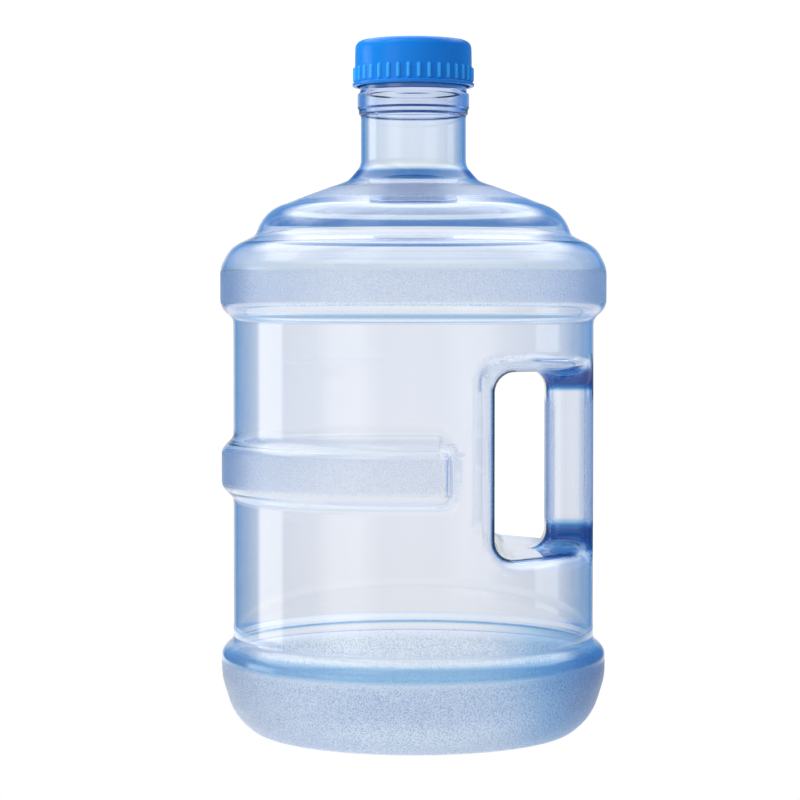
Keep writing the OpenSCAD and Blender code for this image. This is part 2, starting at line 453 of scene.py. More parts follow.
def helix_lift(turn, z, start, first, turns, pitch, height, base, crest):
    """How far a helical ridge stands out at each (turn, z).

    The ridge's centre is at start plus the pitch for each turn past the angle first.
    Its section is a trapezoid, base wide at the wall and crest wide at the top, and
    its height fades in and out over an eighth of a turn at each end.
    """
    lift = np.zeros(np.broadcast(turn, z).shape)
    for lap in range(-1, 4):
        a = turn + lap * 2 * math.pi
        within = np.minimum(a - first, first + turns * 2 * math.pi - a) / (math.pi / 4)
        fade = smooth_step(0.0, 1.0, within)
        off = np.abs(z - start - pitch * a / (2 * math.pi))
        section = np.clip((base / 2 - off) / ((base - crest) / 2), 0.0, 1.0)
        lift = np.maximum(lift, height * fade * section)
    return lift


def ring_faces(rows, columns, first=0):
    """Quads between rows of points that each close round the axis."""
    i = np.arange(rows - 1)[:, None] * columns + first
    j = np.arange(columns)
    k = (j + 1) % columns
    return np.stack([i + j, i + k, i + columns + k, i + columns + j], axis=2).reshape(-1, 4)


def turned_points(profile, turns):
    """The profile's (radius, height) points turned round the axis, row by row."""
    r, z = profile[..., 0], profile[..., 1]
    if r.ndim == 1:
        r, z = r[:, None], z[:, None]
    r = np.broadcast_to(r, (r.shape[0], len(turns)))
    z = np.broadcast_to(z, r.shape)
    return np.stack([r * np.cos(turns), r * np.sin(turns), z], axis=2).reshape(-1, 3)


# ------------------------------------------------------------------- meshes


def new_object(name, points, face_groups, material, normals=None):
    """A smooth-shaded object from points and arrays of faces, at the origin.

    Where normals are given, those of the first vertices are taken from them.
    """
    mesh = bpy.data.meshes.new(name)
    faces = [f for group in face_groups for f in group.tolist()]
    mesh.from_pydata(points.tolist(), [], faces)
    mesh.shade_smooth()
    if normals is not None:
        own = np.empty(len(points) * 3, np.float32)
        mesh.vertex_normals.foreach_get("vector", own)
        own = own.reshape(-1, 3)
        own[:len(normals)] = normals
        mesh.normals_split_custom_set_from_vertices(own.tolist())
    mesh.materials.append(material)
    mesh.update()
    obj = bpy.data.objects.new(name, mesh)
    bpy.context.scene.collection.objects.link(obj)
    return obj


def set_mask(obj, name, values):
    """Stores one number for each vertex, for the material to read."""
    layer = obj.data.attributes.new(name, "FLOAT", "POINT")
    layer.data.foreach_set("value", np.ascontiguousarray(values, np.float32))


def window(v, low, high, soft):
    """1 between low and high, falling to 0 at both over the width soft."""
    return smooth_step(low, low + soft, v) * (1 - smooth_step(high - soft, high, v))


def stipple_mask(points, sizes):
    """Where the mould left the outer surface stippled, from 0 to 1."""
    x, y, z = points.T
    r = np.hypot(x, y)
    foot = window(z, -2 * MM, 38.5 * MM, 2 * MM)
    top_band = window(z, 224 * MM, 243 * MM, 2 * MM) * smooth_step(98 * MM, 100.5 * MM, r)
    dome = window(z, 278 * MM, 287 * MM, 2.5 * MM)
    half = sizes.wall_radius * (math.pi / 2 + sizes.band_past)
    off = round_rect(np.arctan2(y, -x) * sizes.wall_radius, z,
                     (-half + 7 * MM, sizes.band_middle - sizes.band_face / 2),
                     (half - 7 * MM, sizes.band_middle + sizes.band_face / 2), 4 * MM)
    band = (1 - smooth_step(-2 * MM, 0.0, off)) * smooth_step(97 * MM, 99 * MM, r)
    grip = window(z, 106 * MM, 179 * MM, 10 * MM) * smooth_step(64 * MM, 66 * MM, x)
    grip *= smooth_step(7 * MM, 9 * MM, np.abs(x - 81.5 * MM))
    return np.maximum.reduce([foot, 0.5 * top_band, 0.55 * dome, 0.45 * band, 0.5 * grip])


def painted_shade_mask(points, sizes):
    """Where painted shade makes the wall a deeper blue, from 0 to 1, standing in for the dark
    lines at the wall's turns.

    That is on the foot's side by the grip, in the groove under the upper band, and in
    the roof and floor of the finger gap where the grip joins them.
    """
    x, y, z = points.T
    # Painted shade: a thin dark ring in the groove under the upper band.
    groove = 0.45 * window(z, 216.8 * MM, 219.4 * MM, 1.2 * MM)
    groove *= smooth_step(sizes.wall_radius - 2 * MM, sizes.wall_radius, np.hypot(x, y))
    # Painted shade where the finger gap's roof and floor meet the grip.
    roof = window(z, sizes.gap_roof - 10.5 * MM, sizes.gap_roof + 1.5 * MM, 1.6 * MM)
    floor = window(z, sizes.gap_floor - 1.5 * MM, sizes.gap_floor + 13 * MM, 1.6 * MM)
    joints = np.maximum(roof, floor) * smooth_step(62 * MM, 69 * MM, x)
    # Painted shade: the foot darker towards the grip's side.
    side = 0.62 * window(z, -2 * MM, 48 * MM, 3 * MM) * smooth_step(30 * MM, 104 * MM, x)
    return np.maximum.reduce([groove, side, 0.95 * joints])


def gap_rim(points, sizes):
    """The rounding around the finger gap, from 0 away from it to 1 on it."""
    x, y, z = points.T
    off = round_rect(x, z, (sizes.gap_wall, sizes.gap_floor), (0.3, sizes.gap_roof),
                     sizes.gap_corner)
    return (1 - smooth_step(3 * MM, 9 * MM, off)) * (1 - smooth_step(62 * MM, 70 * MM, x))


def entry_shade_mask(points, side):
    """Where painted shade turns the wall deep blue to light that enters there, from 0 to 1.

    On the outside that is the root of the neck and the ledge over the foot, and on the
    inside the dome's hip and the far ledge.
    """
    z = points[:, 2]
    if side > 0:
        ledge = 0.48 * window(z, 38.5 * MM, 47.5 * MM, 2.5 * MM)
        ledge += 0.3 * window(z, 38.5 * MM, 41.5 * MM, 1.2 * MM)
        return np.maximum(window(z, 288.2 * MM, 295.4 * MM, 1.4 * MM), ledge)
    hip = window(z, 266.8 * MM, 275.0 * MM, 1.2 * MM)
    return np.maximum(hip, 0.6 * window(z, 44.4 * MM, 46.6 * MM, 0.8 * MM))


def build_shell(sizes, material):
    """The blown shell, closed at the neck's rim."""
    field = ShellField(sizes)
    fine = graded([(-72, 1.9), (72, 1.9)])
    coarse = graded([(72, 3.1), (288, 3.1)])[1:]
    turns = np.radians(np.concatenate([fine, coarse[:-1]]))
    radii = MM * graded([(0, 3.2), (32, 2.2), (52, 3), (64, 2.1), (104.5, 2.1)])
    heights = MM * graded([
        (-1.2, 1.4), (12, 2.4), (41, 1.3), (52, 4), (84, 2), (112, 3.2), (122, 1.3),
        (131, 4), (147, 1.3), (157, 3.4), (176, 2), (204, 3), (213, 1.5), (230, 3),
        (240, 1.7), (301, 1.7)])
    outer = level_surface(field, 0.0, turns, radii, heights)
    inner = level_surface(field, -sizes.wall, turns, radii, heights)
    points, groups, normals = [], [], []
    masks = {"stipple": [], "painted_shade": [], "entry_shade": [], "wall": []}
    rings, start = [], 0
    for (p, quads, fans, top), side in ((outer, 1.0), (inner, -1.0)):
        n = field.gradient(p)
        n /= np.linalg.norm(n, axis=1)[:, None]
        n *= side
        groups += [facing(p, quads, n) + start] + [facing(p, f, n) + start for f in fans]
        rings.append(top + start)
        blank = np.zeros(len(p))
        masks["stipple"].append(stipple_mask(p, sizes) if side > 0 else blank)
        # Painted shade: deeper blue at the wall's turns, on the outer side only.
        masks["painted_shade"].append(painted_shade_mask(p, sizes) if side > 0 else blank)
        # Painted shade: deep blue rings, shown only where light enters the wall.
        masks["entry_shade"].append(entry_shade_mask(p, side))
        # Painted edge shade mask: upright walls, away from the finger gap's rounding.
        upright = 1 - smooth_step(0.25, 0.55, np.abs(n[:, 2]))
        masks["wall"].append(upright * (1 - gap_rim(p, sizes)))
        points.append(p)
        normals.append(n)
        start += len(p)

    neck, bore = sizes.neck_radius, sizes.neck_radius - sizes.wall
    low = float(points[0][rings[0][0], 2])
    rim, finish, collar = sizes.rim_height, sizes.finish_radius, sizes.collar_radius
    path = [
        (neck, low + 1 * MM, 0), (neck, 323.1 * MM, 0.9 * MM),
        (collar - 0.7 * MM, 324.1 * MM, 0.9 * MM), (collar - 0.6 * MM, 326.2 * MM, 0.9 * MM),
        (collar, 327.2 * MM, 0.9 * MM), (collar, 334.3 * MM, 1.1 * MM),
        (finish, 335.6 * MM, 0.9 * MM), (finish, rim, 0.8 * MM), (bore, rim, 0.6 * MM),
        (bore, low + 1 * MM, 0),
    ]
    profile = softened(path, 1.0 * MM)
    profile = np.broadcast_to(profile[:, None, :], (len(profile), len(turns), 2)).copy()
    mid = turns + np.diff(np.append(turns, turns[0] + 2 * math.pi)) / 2
    threaded = (profile[..., 0] > finish - 0.1 * MM) & (profile[..., 1] > 339 * MM)
    lift = helix_lift(mid % (2 * math.pi), profile[..., 1], 343.6 * MM, 0.0, 1.5, sizes.pitch,
                      RIDGE_HEIGHT, RIDGE_BASE, RIDGE_CREST)
    profile[..., 0] += np.where(threaded & (profile[..., 1] < rim - 1 * MM), lift, 0.0)
    neck_points = turned_points(profile, mid)
    rows = len(profile)
    groups.append(ring_faces(rows, len(turns), start))
    ring = start + np.arange(len(turns))
    groups.append(bridge(rings[0], ring))
    groups.append(bridge(ring + (rows - 1) * len(turns), rings[1]))
    points.append(neck_points)
    for name, values in masks.items():
        values.append(np.full(len(neck_points), 1.0 if name == "wall" else 0.0))
    obj = new_object("jug_shell", np.concatenate(points), groups, material,
                     np.concatenate(normals))
    for name, values in masks.items():
        set_mask(obj, name, np.concatenate(values))
    return obj


def bridge(first, second):
    """Quads from one ring of vertex numbers to another of the same length."""
    return np.stack([first, np.roll(first, -1), np.roll(second, -1), second], axis=1)


def turned_solid(name, rows, turns, material):
    """A solid whose outline starts and ends on the axis, turned about it.

    rows is (row, turn, 2): radius and height. The first and last rows are single
    points on the axis, each closed with a fan of triangles.
    """
    ring = turned_points(rows[1:-1], turns)
    first, last = rows[0, 0], rows[-1, 0]
    count = len(turns)
    j = np.arange(count)
    k = (j + 1) % count
    end = len(ring)
    points = np.vstack([ring, [[0, 0, first[1]]], [[0, 0, last[1]]]])
    lower = np.stack([np.full(count, end), k, j], axis=1)
    upper = np.stack([end - count + j, end - count + k, np.full(count, end + 1)], axis=1)
    return new_object(name, points, [ring_faces(len(rows) - 2, count), lower, upper], material)


def build_cap(sizes, shell, material):
    """The screw cap: plug skirt, threaded skirt, lip, ribs and smooth top."""
    under = GASKET_HIGH.z + 0.06 * MM
    plug, skirt = sizes.plug_radius, sizes.skirt_radius
    body = sizes.rib_radius - 1.15 * MM
    low, high = sizes.low, sizes.high
    path = [
        (0, under, 0), (plug - 1.4 * MM, under, 0.6 * MM),
        (plug - 1.4 * MM, sizes.plug_low, 0.3 * MM), (plug, sizes.plug_low, 1.0 * MM),
        (plug, under, 0.3 * MM), (skirt, under, 0.4 * MM), (skirt, low, 0.3 * MM),
        (sizes.lip_radius - 0.2 * MM, low, 0.4 * MM),
        (sizes.lip_radius, low + 1.5 * MM, 0.5 * MM), (body, low + 2.1 * MM, 0.4 * MM),
        (body, low + 11 * MM, 8 * MM), (sizes.top_radius, high - 7 * MM, 0),
        (sizes.top_radius - 0.3 * MM, high - 0.3 * MM, 3.9 * MM), (8 * MM, high, 30 * MM),
        (0, high, 0),
    ]
    profile = softened(path, 0.8 * MM)
    count = sizes.ribs * 10
    turns = np.linspace(0, 2 * math.pi, count, endpoint=False)
    rows = np.broadcast_to(profile[:, None, :], (len(profile), count, 2)).copy()
    r, z = rows[..., 0], rows[..., 1]
    row = np.arange(len(profile))[:, None]
    corner = int(np.argmax(profile[:, 0] >= sizes.lip_radius - 0.6 * MM))
    outer, inner = row > corner, (row < corner) & (r > skirt - 0.1 * MM)
    phase = (turns * sizes.ribs / (2 * math.pi)) % 1 - 0.5
    across = phase * 2 * math.pi * body / sizes.ribs / (0.8 * MM)
    section = np.sqrt(np.clip(1 - across * across, 0, 1))
    section = smooth_step(0.0, 0.75, section)
    ribbed = smooth_step(low + 1.9 * MM, low + 2.8 * MM, z)
    ribbed = ribbed * (1 - smooth_step(low + 9.2 * MM, low + 10.3 * MM, z))
    r += np.where(outer, 1.1 * MM * section * ribbed, 0.0)
    thread = helix_lift(turns, z, 340.6 * MM, math.radians(60), 1.2, shell.pitch,
                        RIDGE_HEIGHT, RIDGE_BASE, RIDGE_CREST)
    r -= np.where(inner & (z < under - 1 * MM) & (z > low + 0.6 * MM), thread, 0.0)
    cap = turned_solid("cap_shell", rows, turns, material)
    # Painted highlight mask: 1 along the ribs' crests.
    crest = np.where(outer, section * ribbed, 0.0)[1:-1]
    set_mask(cap, "crest", np.append(crest.ravel(), (0.0, 0.0)))
    return cap


def build_gasket(shell, material):
    """The sealing ring: a flat ring with rounded edges and a shallow groove round it."""
    low, high = GASKET_LOW.z, GASKET_HIGH.z
    inner, outer = shell.neck_radius - shell.wall + 0.05 * MM, shell.finish_radius
    middle = (inner + outer) / 2
    groove = 0.18 * MM
    path = [
        (middle, low, 0), (outer, low, 0.35 * MM), (outer, high, 0.35 * MM),
        (middle + 0.5 * MM, high, 0.1 * MM), (middle, high - groove, 0.2 * MM),
        (middle - 0.5 * MM, high, 0.1 * MM), (inner, high, 0.35 * MM),
        (inner, low, 0.35 * MM), (middle, low, 0),
    ]
    profile = softened(path, 0.3 * MM)[:-1]
    turns = np.linspace(0, 2 * math.pi, 180, endpoint=False)
    points = turned_points(profile, turns)
    rows, count = len(profile), len(turns)
    faces = ring_faces(rows, count)
    ring = np.arange(count)
    close = bridge(ring + (rows - 1) * count, ring)
    return new_object("cap_seal", points, [faces, close], material)


# ---------------------------------------------------------------- materials


def new_material(name):
    """A node material, its tree, and its Principled shader."""
    material = bpy.data.materials.new(name)
    material.use_nodes = True
    tree = material.node_tree
    return material, tree, tree.nodes["Principled BSDF"]


def add_node(tree, kind, inputs=None, **settings):
    """A node with its settings, and its inputs set to values or linked to sockets."""
    node = tree.nodes.new(kind)
    for key, value in settings.items():
        setattr(node, key, value)
    for key, value in (inputs or {}).items():
        if isinstance(value, bpy.types.NodeSocket):
            tree.links.new(value, node.inputs[key])
        else:
            node.inputs[key].default_value = value
    return node


def group_tree(name, inputs, outputs):
    """An empty shader node group with named float or vector sockets."""
    tree = bpy.data.node_groups.new(name, "ShaderNodeTree")
    for label, kind in inputs:
        tree.interface.new_socket(label, in_out="INPUT", socket_type=kind)
    for label, kind in outputs:
        tree.interface.new_socket(label, in_out="OUTPUT", socket_type=kind)
    return tree, tree.nodes.new("NodeGroupInput"), tree.nodes.new("NodeGroupOutput")


def math_node(tree, operation, a, b=0.0, clamp=False):
    """The result of one Math node on a and b."""
    return add_node(tree, "ShaderNodeMath", {0: a, 1: b}, operation=operation,
                    use_clamp=clamp).outputs[0]


def colour_ramp(tree, factor, stops):
    """The colour of a Color Ramp node with the stops (place, colour) at factor."""
    node = add_node(tree, "ShaderNodeValToRGB", {"Fac": factor})
    elements = node.color_ramp.elements
    while len(elements) < len(stops):
        elements.new(0.5)
    for element, (place, value) in zip(elements, stops):
        element.position = place
        element.color = (*value, 1.0)
    return node.outputs["Color"]


def moulding_marks_group():
    """Fine uneven roughness and waviness that moulded plastic has.

    Rough goes up and down about zero; Height is a slow wave with fine scratches.
    """
    tree, given, made = group_tree(
        "Moulding Marks", [("Vector", "NodeSocketVector"), ("Scale", "NodeSocketFloat")],
        [("Rough", "NodeSocketFloat"), ("Height", "NodeSocketFloat")])
    slow = add_node(tree, "ShaderNodeTexNoise", {
        "Vector": given.outputs["Vector"], "Scale": given.outputs["Scale"], "Detail": 2.0})
    quick = math_node(tree, "MULTIPLY", given.outputs["Scale"], 14.0)
    fine = add_node(tree, "ShaderNodeTexNoise", {
        "Vector": given.outputs["Vector"], "Scale": quick, "Detail": 4.0, "Roughness": 0.7})
    centred = math_node(tree, "SUBTRACT", fine.outputs["Fac"], 0.5)
    both = math_node(tree, "MULTIPLY_ADD", fine.outputs["Fac"], 0.08)
    both.node.inputs[2].default_value = 0.0
    tree.links.new(slow.outputs["Fac"], both.node.inputs[2])
    tree.links.new(centred, made.inputs["Rough"])
    tree.links.new(both, made.inputs["Height"])
    return tree


def stipple_group():
    """The pebbled finish of a spark-eroded mould: round grains with fine grit on them.

    Height is the relief, and the second output is 1 on grit given painted shade, the grains taken
    to catch the light least.
    """
    tree, given, made = group_tree(
        "Mould Stipple", [("Vector", "NodeSocketVector"), ("Grain", "NodeSocketFloat")],
        [("Height", "NodeSocketFloat"), ("Grain Shade", "NodeSocketFloat")])
    cells = add_node(tree, "ShaderNodeTexVoronoi", {
        "Vector": given.outputs["Vector"], "Scale": given.outputs["Grain"],
        "Smoothness": 0.6}, feature="SMOOTH_F1")
    double = math_node(tree, "MULTIPLY", given.outputs["Grain"], 1.6)
    grit = add_node(tree, "ShaderNodeTexNoise", {
        "Vector": given.outputs["Vector"], "Scale": double, "Detail": 1.0})
    height = math_node(tree, "MULTIPLY_ADD", cells.outputs["Distance"], -0.9)
    tree.links.new(grit.outputs["Fac"], height.node.inputs[2])
    tree.links.new(height, made.inputs["Height"])
    # Painted shade on the grit: the darkest grains, from the noise alone.
    grain_shade = add_node(tree, "ShaderNodeMapRange", {
        "Value": grit.outputs["Fac"], "From Min": 0.42, "From Max": 0.62})
    tree.links.new(grain_shade.outputs["Result"], made.inputs["Grain Shade"])
    return tree


def place_group(tree, group, inputs):
    """A node group placed in a tree with its inputs set or linked."""
    node = add_node(tree, "ShaderNodeGroup", node_tree=group)
    for key, value in inputs.items():
        if isinstance(value, bpy.types.NodeSocket):
            tree.links.new(value, node.inputs[key])
        else:
            node.inputs[key].default_value = value
    return node


def bump(tree, height, strength, distance, normal=None):
    """A Bump node's normal from a height, over another normal if one is given."""
    inputs = {"Height": height, "Strength": strength, "Distance": distance}
    if normal is not None:
        inputs["Normal"] = normal
    return add_node(tree, "ShaderNodeBump", inputs).outputs["Normal"]


def mask_value(tree, name):
    """The number that an attribute stores at each point of the surface."""
    return add_node(tree, "ShaderNodeAttribute", attribute_name=name).outputs["Fac"]


def multiply_colours(tree, a, b):
    """The product of two colours."""
    node = add_node(tree, "ShaderNodeMix", {"Factor": 1.0, "A": a, "B": b},
                    data_type="RGBA", blend_type="MULTIPLY")
    return node.outputs["Result"]


def shell_colour(tree, grains):
    """The tint of each crossing of the surface.

    It is white, with painted shade: deeper blue at the wall's turns, blue-grey where an upright
    wall turns edge on, and dark grit where the mould is stippled.
    """
    # Painted shade: the ring masks count only where a ray enters the plastic from outside.
    across = add_node(tree, "ShaderNodeNewGeometry").outputs["Backfacing"]
    entry_shade = math_node(tree, "MULTIPLY", mask_value(tree, "entry_shade"),
                       math_node(tree, "SUBTRACT", 1.0, across))
    painted_shade = math_node(tree, "MAXIMUM", mask_value(tree, "painted_shade"), entry_shade)
    # Painted shade colours, from white through blue to deep blue.
    shade_blue = colour_ramp(tree, painted_shade, [
        (0.0, (1.0, 1.0, 1.0)), (0.33, (0.30, 0.60, 0.86)), (0.66, (0.04, 0.24, 0.60)),
        (1.0, (0.001, 0.04, 0.26))])
    # Painted edge shade: upright walls turn blue-grey as they turn edge on to the view.
    facing = add_node(tree, "ShaderNodeLayerWeight").outputs["Facing"]
    edge = colour_ramp(tree, math_node(tree, "MULTIPLY", facing, mask_value(tree, "wall")), [
        (0.0, (1.0, 1.0, 1.0)), (0.46, (1.0, 1.0, 1.0)), (0.56, (0.82, 0.86, 0.89)),
        (0.64, (0.72, 0.80, 0.84)), (1.0, (0.66, 0.77, 0.83))])
    # Painted shade: dark blue-grey grit on the stippled bands.
    grain_shade = colour_ramp(tree, grains, [
        (0.0, (1.0, 1.0, 1.0)), (1.0, (0.36, 0.47, 0.62))])
    return multiply_colours(tree, multiply_colours(tree, shade_blue, edge), grain_shade)


def clear_shell_material(finish, marks, stipple):
    """Clear blue polycarbonate: smooth, with a stippled texture where the mould has it."""
    material, tree, shader = new_material("clear_blue_polycarbonate")
    shader.inputs["Transmission Weight"].default_value = 1.0
    shader.inputs["IOR"].default_value = 1.58
    place = add_node(tree, "ShaderNodeTexCoord").outputs["Object"]
    mask = mask_value(tree, "stipple")
    wear = place_group(tree, marks, {"Vector": place, "Scale": 22.0})
    grain = place_group(tree, stipple, {"Vector": place, "Grain": 900.0})
    # The base colour carries the painted shade made in shell_colour.
    tree.links.new(shell_colour(tree, math_node(tree, "MULTIPLY", grain.outputs["Grain Shade"], mask)),
                   shader.inputs["Base Color"])
    smooth = math_node(tree, "MULTIPLY_ADD", wear.outputs["Rough"], 0.02)
    smooth.node.inputs[2].default_value = 0.012
    frost = add_node(tree, "ShaderNodeMapRange", {
        "Value": mask, "From Min": 0.05, "From Max": 0.35, "To Max": 0.3})
    rough = math_node(tree, "ADD", smooth, frost.outputs["Result"], clamp=True)
    tree.links.new(rough, shader.inputs["Roughness"])
    waves = bump(tree, wear.outputs["Height"], 0.06, 0.6 * MM)
    grains = math_node(tree, "MULTIPLY", grain.outputs["Height"], mask)
    tree.links.new(bump(tree, grains, 1.0, 0.3 * MM, waves), shader.inputs["Normal"])
    depth = add_node(tree, "ShaderNodeVolumeAbsorption", {
        "Color": (*finish.shell_tint, 1.0), "Density": finish.shell_depth})
    output = tree.nodes["Material Output"]
    tree.links.new(depth.outputs["Volume"], output.inputs["Volume"])
    return material


def cap_material(finish, marks):
    """Bright blue moulded plastic with a soft gloss, and a painted highlight of paler blue along
    its ribs.
    """
    material, tree, shader = new_material("blue_cap_plastic")
    place = add_node(tree, "ShaderNodeTexCoord").outputs["Object"]
    wear = place_group(tree, marks, {"Vector": place, "Scale": 60.0})
    tone = add_node(tree, "ShaderNodeMix", {
        "Factor": wear.outputs["Height"], "A": (*finish.cap_colour, 1.0),
        "B": (*(min(1.0, c * 1.12 + 0.004) for c in finish.cap_colour), 1.0)},
        data_type="RGBA")
    # Painted highlight: the rib crests mixed halfway to a pale bright blue.
    rib_highlight = math_node(tree, "MULTIPLY", mask_value(tree, "crest"), 0.5)
    highlighted = add_node(tree, "ShaderNodeMix", {
        "Factor": rib_highlight, "A": tone.outputs["Result"], "B": (0.06, 0.52, 1.0, 1.0)},
        data_type="RGBA")
    tree.links.new(highlighted.outputs["Result"], shader.inputs["Base Color"])
    rough = math_node(tree, "MULTIPLY_ADD", wear.outputs["Rough"], 0.12)
    rough.node.inputs[2].default_value = 0.22
    tree.links.new(rough, shader.inputs["Roughness"])
    shader.inputs["Subsurface Weight"].default_value = 0.12
    shader.inputs["Subsurface Scale"].default_value = 1.5 * MM
    shader.inputs["IOR"].default_value = 1.5
    shader.inputs["Specular IOR Level"].default_value = 0.3
    tree.links.new(bump(tree, wear.outputs["Height"], 0.2, 0.2 * MM), shader.inputs["Normal"])
    return material


def gasket_material(finish, marks):
    """Matt white silicone."""
    material, tree, shader = new_material("white_silicone")
    place = add_node(tree, "ShaderNodeTexCoord").outputs["Object"]
    wear = place_group(tree, marks, {"Vector": place, "Scale": 90.0})
    tone = add_node(tree, "ShaderNodeMix", {
        "Factor": wear.outputs["Height"], "A": (*finish.gasket_colour, 1.0),
        "B": (*(c * 0.9 for c in finish.gasket_colour), 1.0)}, data_type="RGBA")
    tree.links.new(tone.outputs["Result"], shader.inputs["Base Color"])
    rough = math_node(tree, "MULTIPLY_ADD", wear.outputs["Rough"], 0.2)
    rough.node.inputs[2].default_value = 0.55
    tree.links.new(rough, shader.inputs["Roughness"])
    tree.links.new(bump(tree, wear.outputs["Height"], 0.3, 0.1 * MM), shader.inputs["Normal"])
    return material


def shared_group(name, make):
    """The node group of that name, made on first use."""
    return bpy.data.node_groups.get(name) or make()


# ------------------------------------------------------------------- studio


def build_world():
    """A bright field: white behind and in front, blue-grey between, white above.

    The clear wall bends what is beside the white, so its edges and steps draw
    themselves in blue. A soft panel on the left gives the wall its long highlight.
    The camera itself sees plain white.
    """
    world = bpy.data.worlds.new("studio")
    world.use_nodes = True
    tree = world.node_tree
    tree.nodes.clear()
    direction = add_node(tree, "ShaderNodeTexCoord").outputs["Generated"]
    part = add_node(tree, "ShaderNodeSeparateXYZ", {"Vector": direction}).outputs
    round_about = math_node(tree, "ARCTAN2", part["X"], part["Y"])
    turn = math_node(tree, "MULTIPLY_ADD", round_about, 0.5 / math.pi)
    turn.node.inputs[2].default_value = 0.5
    white, blue = (0.5, 0.49, 0.5), (0.09, 0.19, 0.36)
    ring = colour_ramp(tree, turn, [
        (degrees / 360 + 0.5, value) for degrees, value in (
            (-180, (0.34, 0.36, 0.42)), (-160, (0.34, 0.36, 0.42)), (-145, (0.75, 0.75, 0.76)),
            (-128, (0.75, 0.75, 0.76)), (-115, (0.28, 0.32, 0.4)), (-90, (0.22, 0.28, 0.36)),
            (-87, (1.0, 1.0, 1.0)), (-66, (1.0, 1.0, 1.0)), (-62, blue), (-24, blue),
            (-9, white), (2, white), (7, (0.38, 0.39, 0.42)), (22, blue), (60, blue),
            (80, (0.12, 0.17, 0.28)), (110, (0.20, 0.24, 0.34)), (180, (0.34, 0.36, 0.42)))])
    level = add_node(tree, "ShaderNodeMapRange", {
        "Value": part["Z"], "From Min": -0.12, "From Max": 0.08}).outputs["Result"]
    dim = colour_ramp(tree, level, [
        (0.0, (0.95, 0.93, 0.86)), (0.35, (0.98, 0.97, 0.93)), (0.6, (0.97, 0.97, 0.92)),
        (0.75, (0.80, 0.86, 0.79)), (1.0, (0.88, 0.93, 0.95))])
    ring = multiply_colours(tree, ring, dim)
    rise = math_node(tree, "MULTIPLY_ADD", part["Z"], 0.5)
    rise.node.inputs[2].default_value = 0.5
    above = colour_ramp(tree, rise, [
        (0.5 + z / 2, (share, share, share)) for z, share in (
            (0.12, 0.0), (0.24, 0.9), (0.42, 0.9), (0.58, 0.0), (1.0, 0.0))])
    below = add_node(tree, "ShaderNodeMapRange", {
        "Value": part["Z"], "From Min": -0.13, "From Max": -0.2}).outputs["Result"]
    top = add_node(tree, "ShaderNodeMapRange", {
        "Value": part["Z"], "From Min": 0.42, "From Max": 0.6}).outputs["Result"]
    behind = add_node(tree, "ShaderNodeMapRange", {
        "Value": part["Y"], "From Min": -0.2, "From Max": 0.2, "To Min": 0.12}).outputs["Result"]
    top = math_node(tree, "MULTIPLY", top, behind)
    sky = ring
    for share, colour_there in ((below, (0.44, 0.45, 0.48)), (top, (1.0, 1.0, 0.95)),
                                (above, (0.06, 0.17, 0.36))):
        sky = add_node(tree, "ShaderNodeMix", {
            "Factor": share, "A": sky, "B": (*colour_there, 1.0)},
            data_type="RGBA").outputs["Result"]
    light = add_node(tree, "ShaderNodeBackground", {"Color": sky, "Strength": 2.0})
    seen = add_node(tree, "ShaderNodeBackground", {"Color": (1, 1, 1, 1), "Strength": 1.05})
    path = add_node(tree, "ShaderNodeLightPath").outputs["Is Camera Ray"]
    mix = add_node(tree, "ShaderNodeMixShader", {0: path, 1: light.outputs[0],
                                                 2: seen.outputs[0]})
    output = add_node(tree, "ShaderNodeOutputWorld", {"Surface": mix.outputs[0]})
    output.is_active_output = True
    bpy.context.scene.world = world


def build_floor():
    """A pale round floor, white to the camera; to the shell it glows as painted light, warm white
    in the middle, bluer towards its edge with a painted blue-grey ring, brighter on the left and
    darker on the right.
    """
    radius = 0.48
    material, tree, shader = new_material("studio_floor")
    shader.inputs["Base Color"].default_value = (0, 0, 0, 1)
    shader.inputs["Specular IOR Level"].default_value = 0.0
    place = add_node(tree, "ShaderNodeTexCoord").outputs["Object"]
    away = add_node(tree, "ShaderNodeVectorMath", {0: place}, operation="LENGTH")
    reach = math_node(tree, "DIVIDE", away.outputs["Value"], radius)
    # Painted light for the shell: a glow that grows bluer towards the edge, with a dark blue
    # ring.
    glow = colour_ramp(tree, reach, [
        (0.0, (1.0, 1.0, 0.90)), (0.2, (1.0, 1.0, 0.90)), (0.5, (0.95, 0.96, 0.90)),
        (0.93, (0.88, 0.90, 0.96)), (0.965, (0.25, 0.40, 0.70)), (1.0, (0.6, 0.7, 0.86))])
    side = add_node(tree, "ShaderNodeSeparateXYZ", {"Vector": place}).outputs["X"]
    # Painted light on the left and painted shade on the right.
    shade = add_node(tree, "ShaderNodeMapRange", {
        "Value": side, "From Min": -0.25, "From Max": 0.25, "To Min": 1.3, "To Max": 0.85})
    shaded = add_node(tree, "ShaderNodeVectorMath", {0: glow, 1: shade.outputs["Result"]},
                      operation="MULTIPLY")
    path = add_node(tree, "ShaderNodeLightPath").outputs["Is Camera Ray"]
    seen = add_node(tree, "ShaderNodeMix", {
        "Factor": path, "A": shaded.outputs["Vector"], "B": (1, 1, 1, 1)}, data_type="RGBA")
    tree.links.new(seen.outputs["Result"], shader.inputs["Emission Color"])
    shader.inputs["Emission Strength"].default_value = 1.0
    turns = np.linspace(0, 2 * math.pi, 128, endpoint=False)
    rim = turned_points(np.array([[radius, 0.0]]), turns)
    floor = new_object("floor", rim, [np.arange(128)[None]], material)


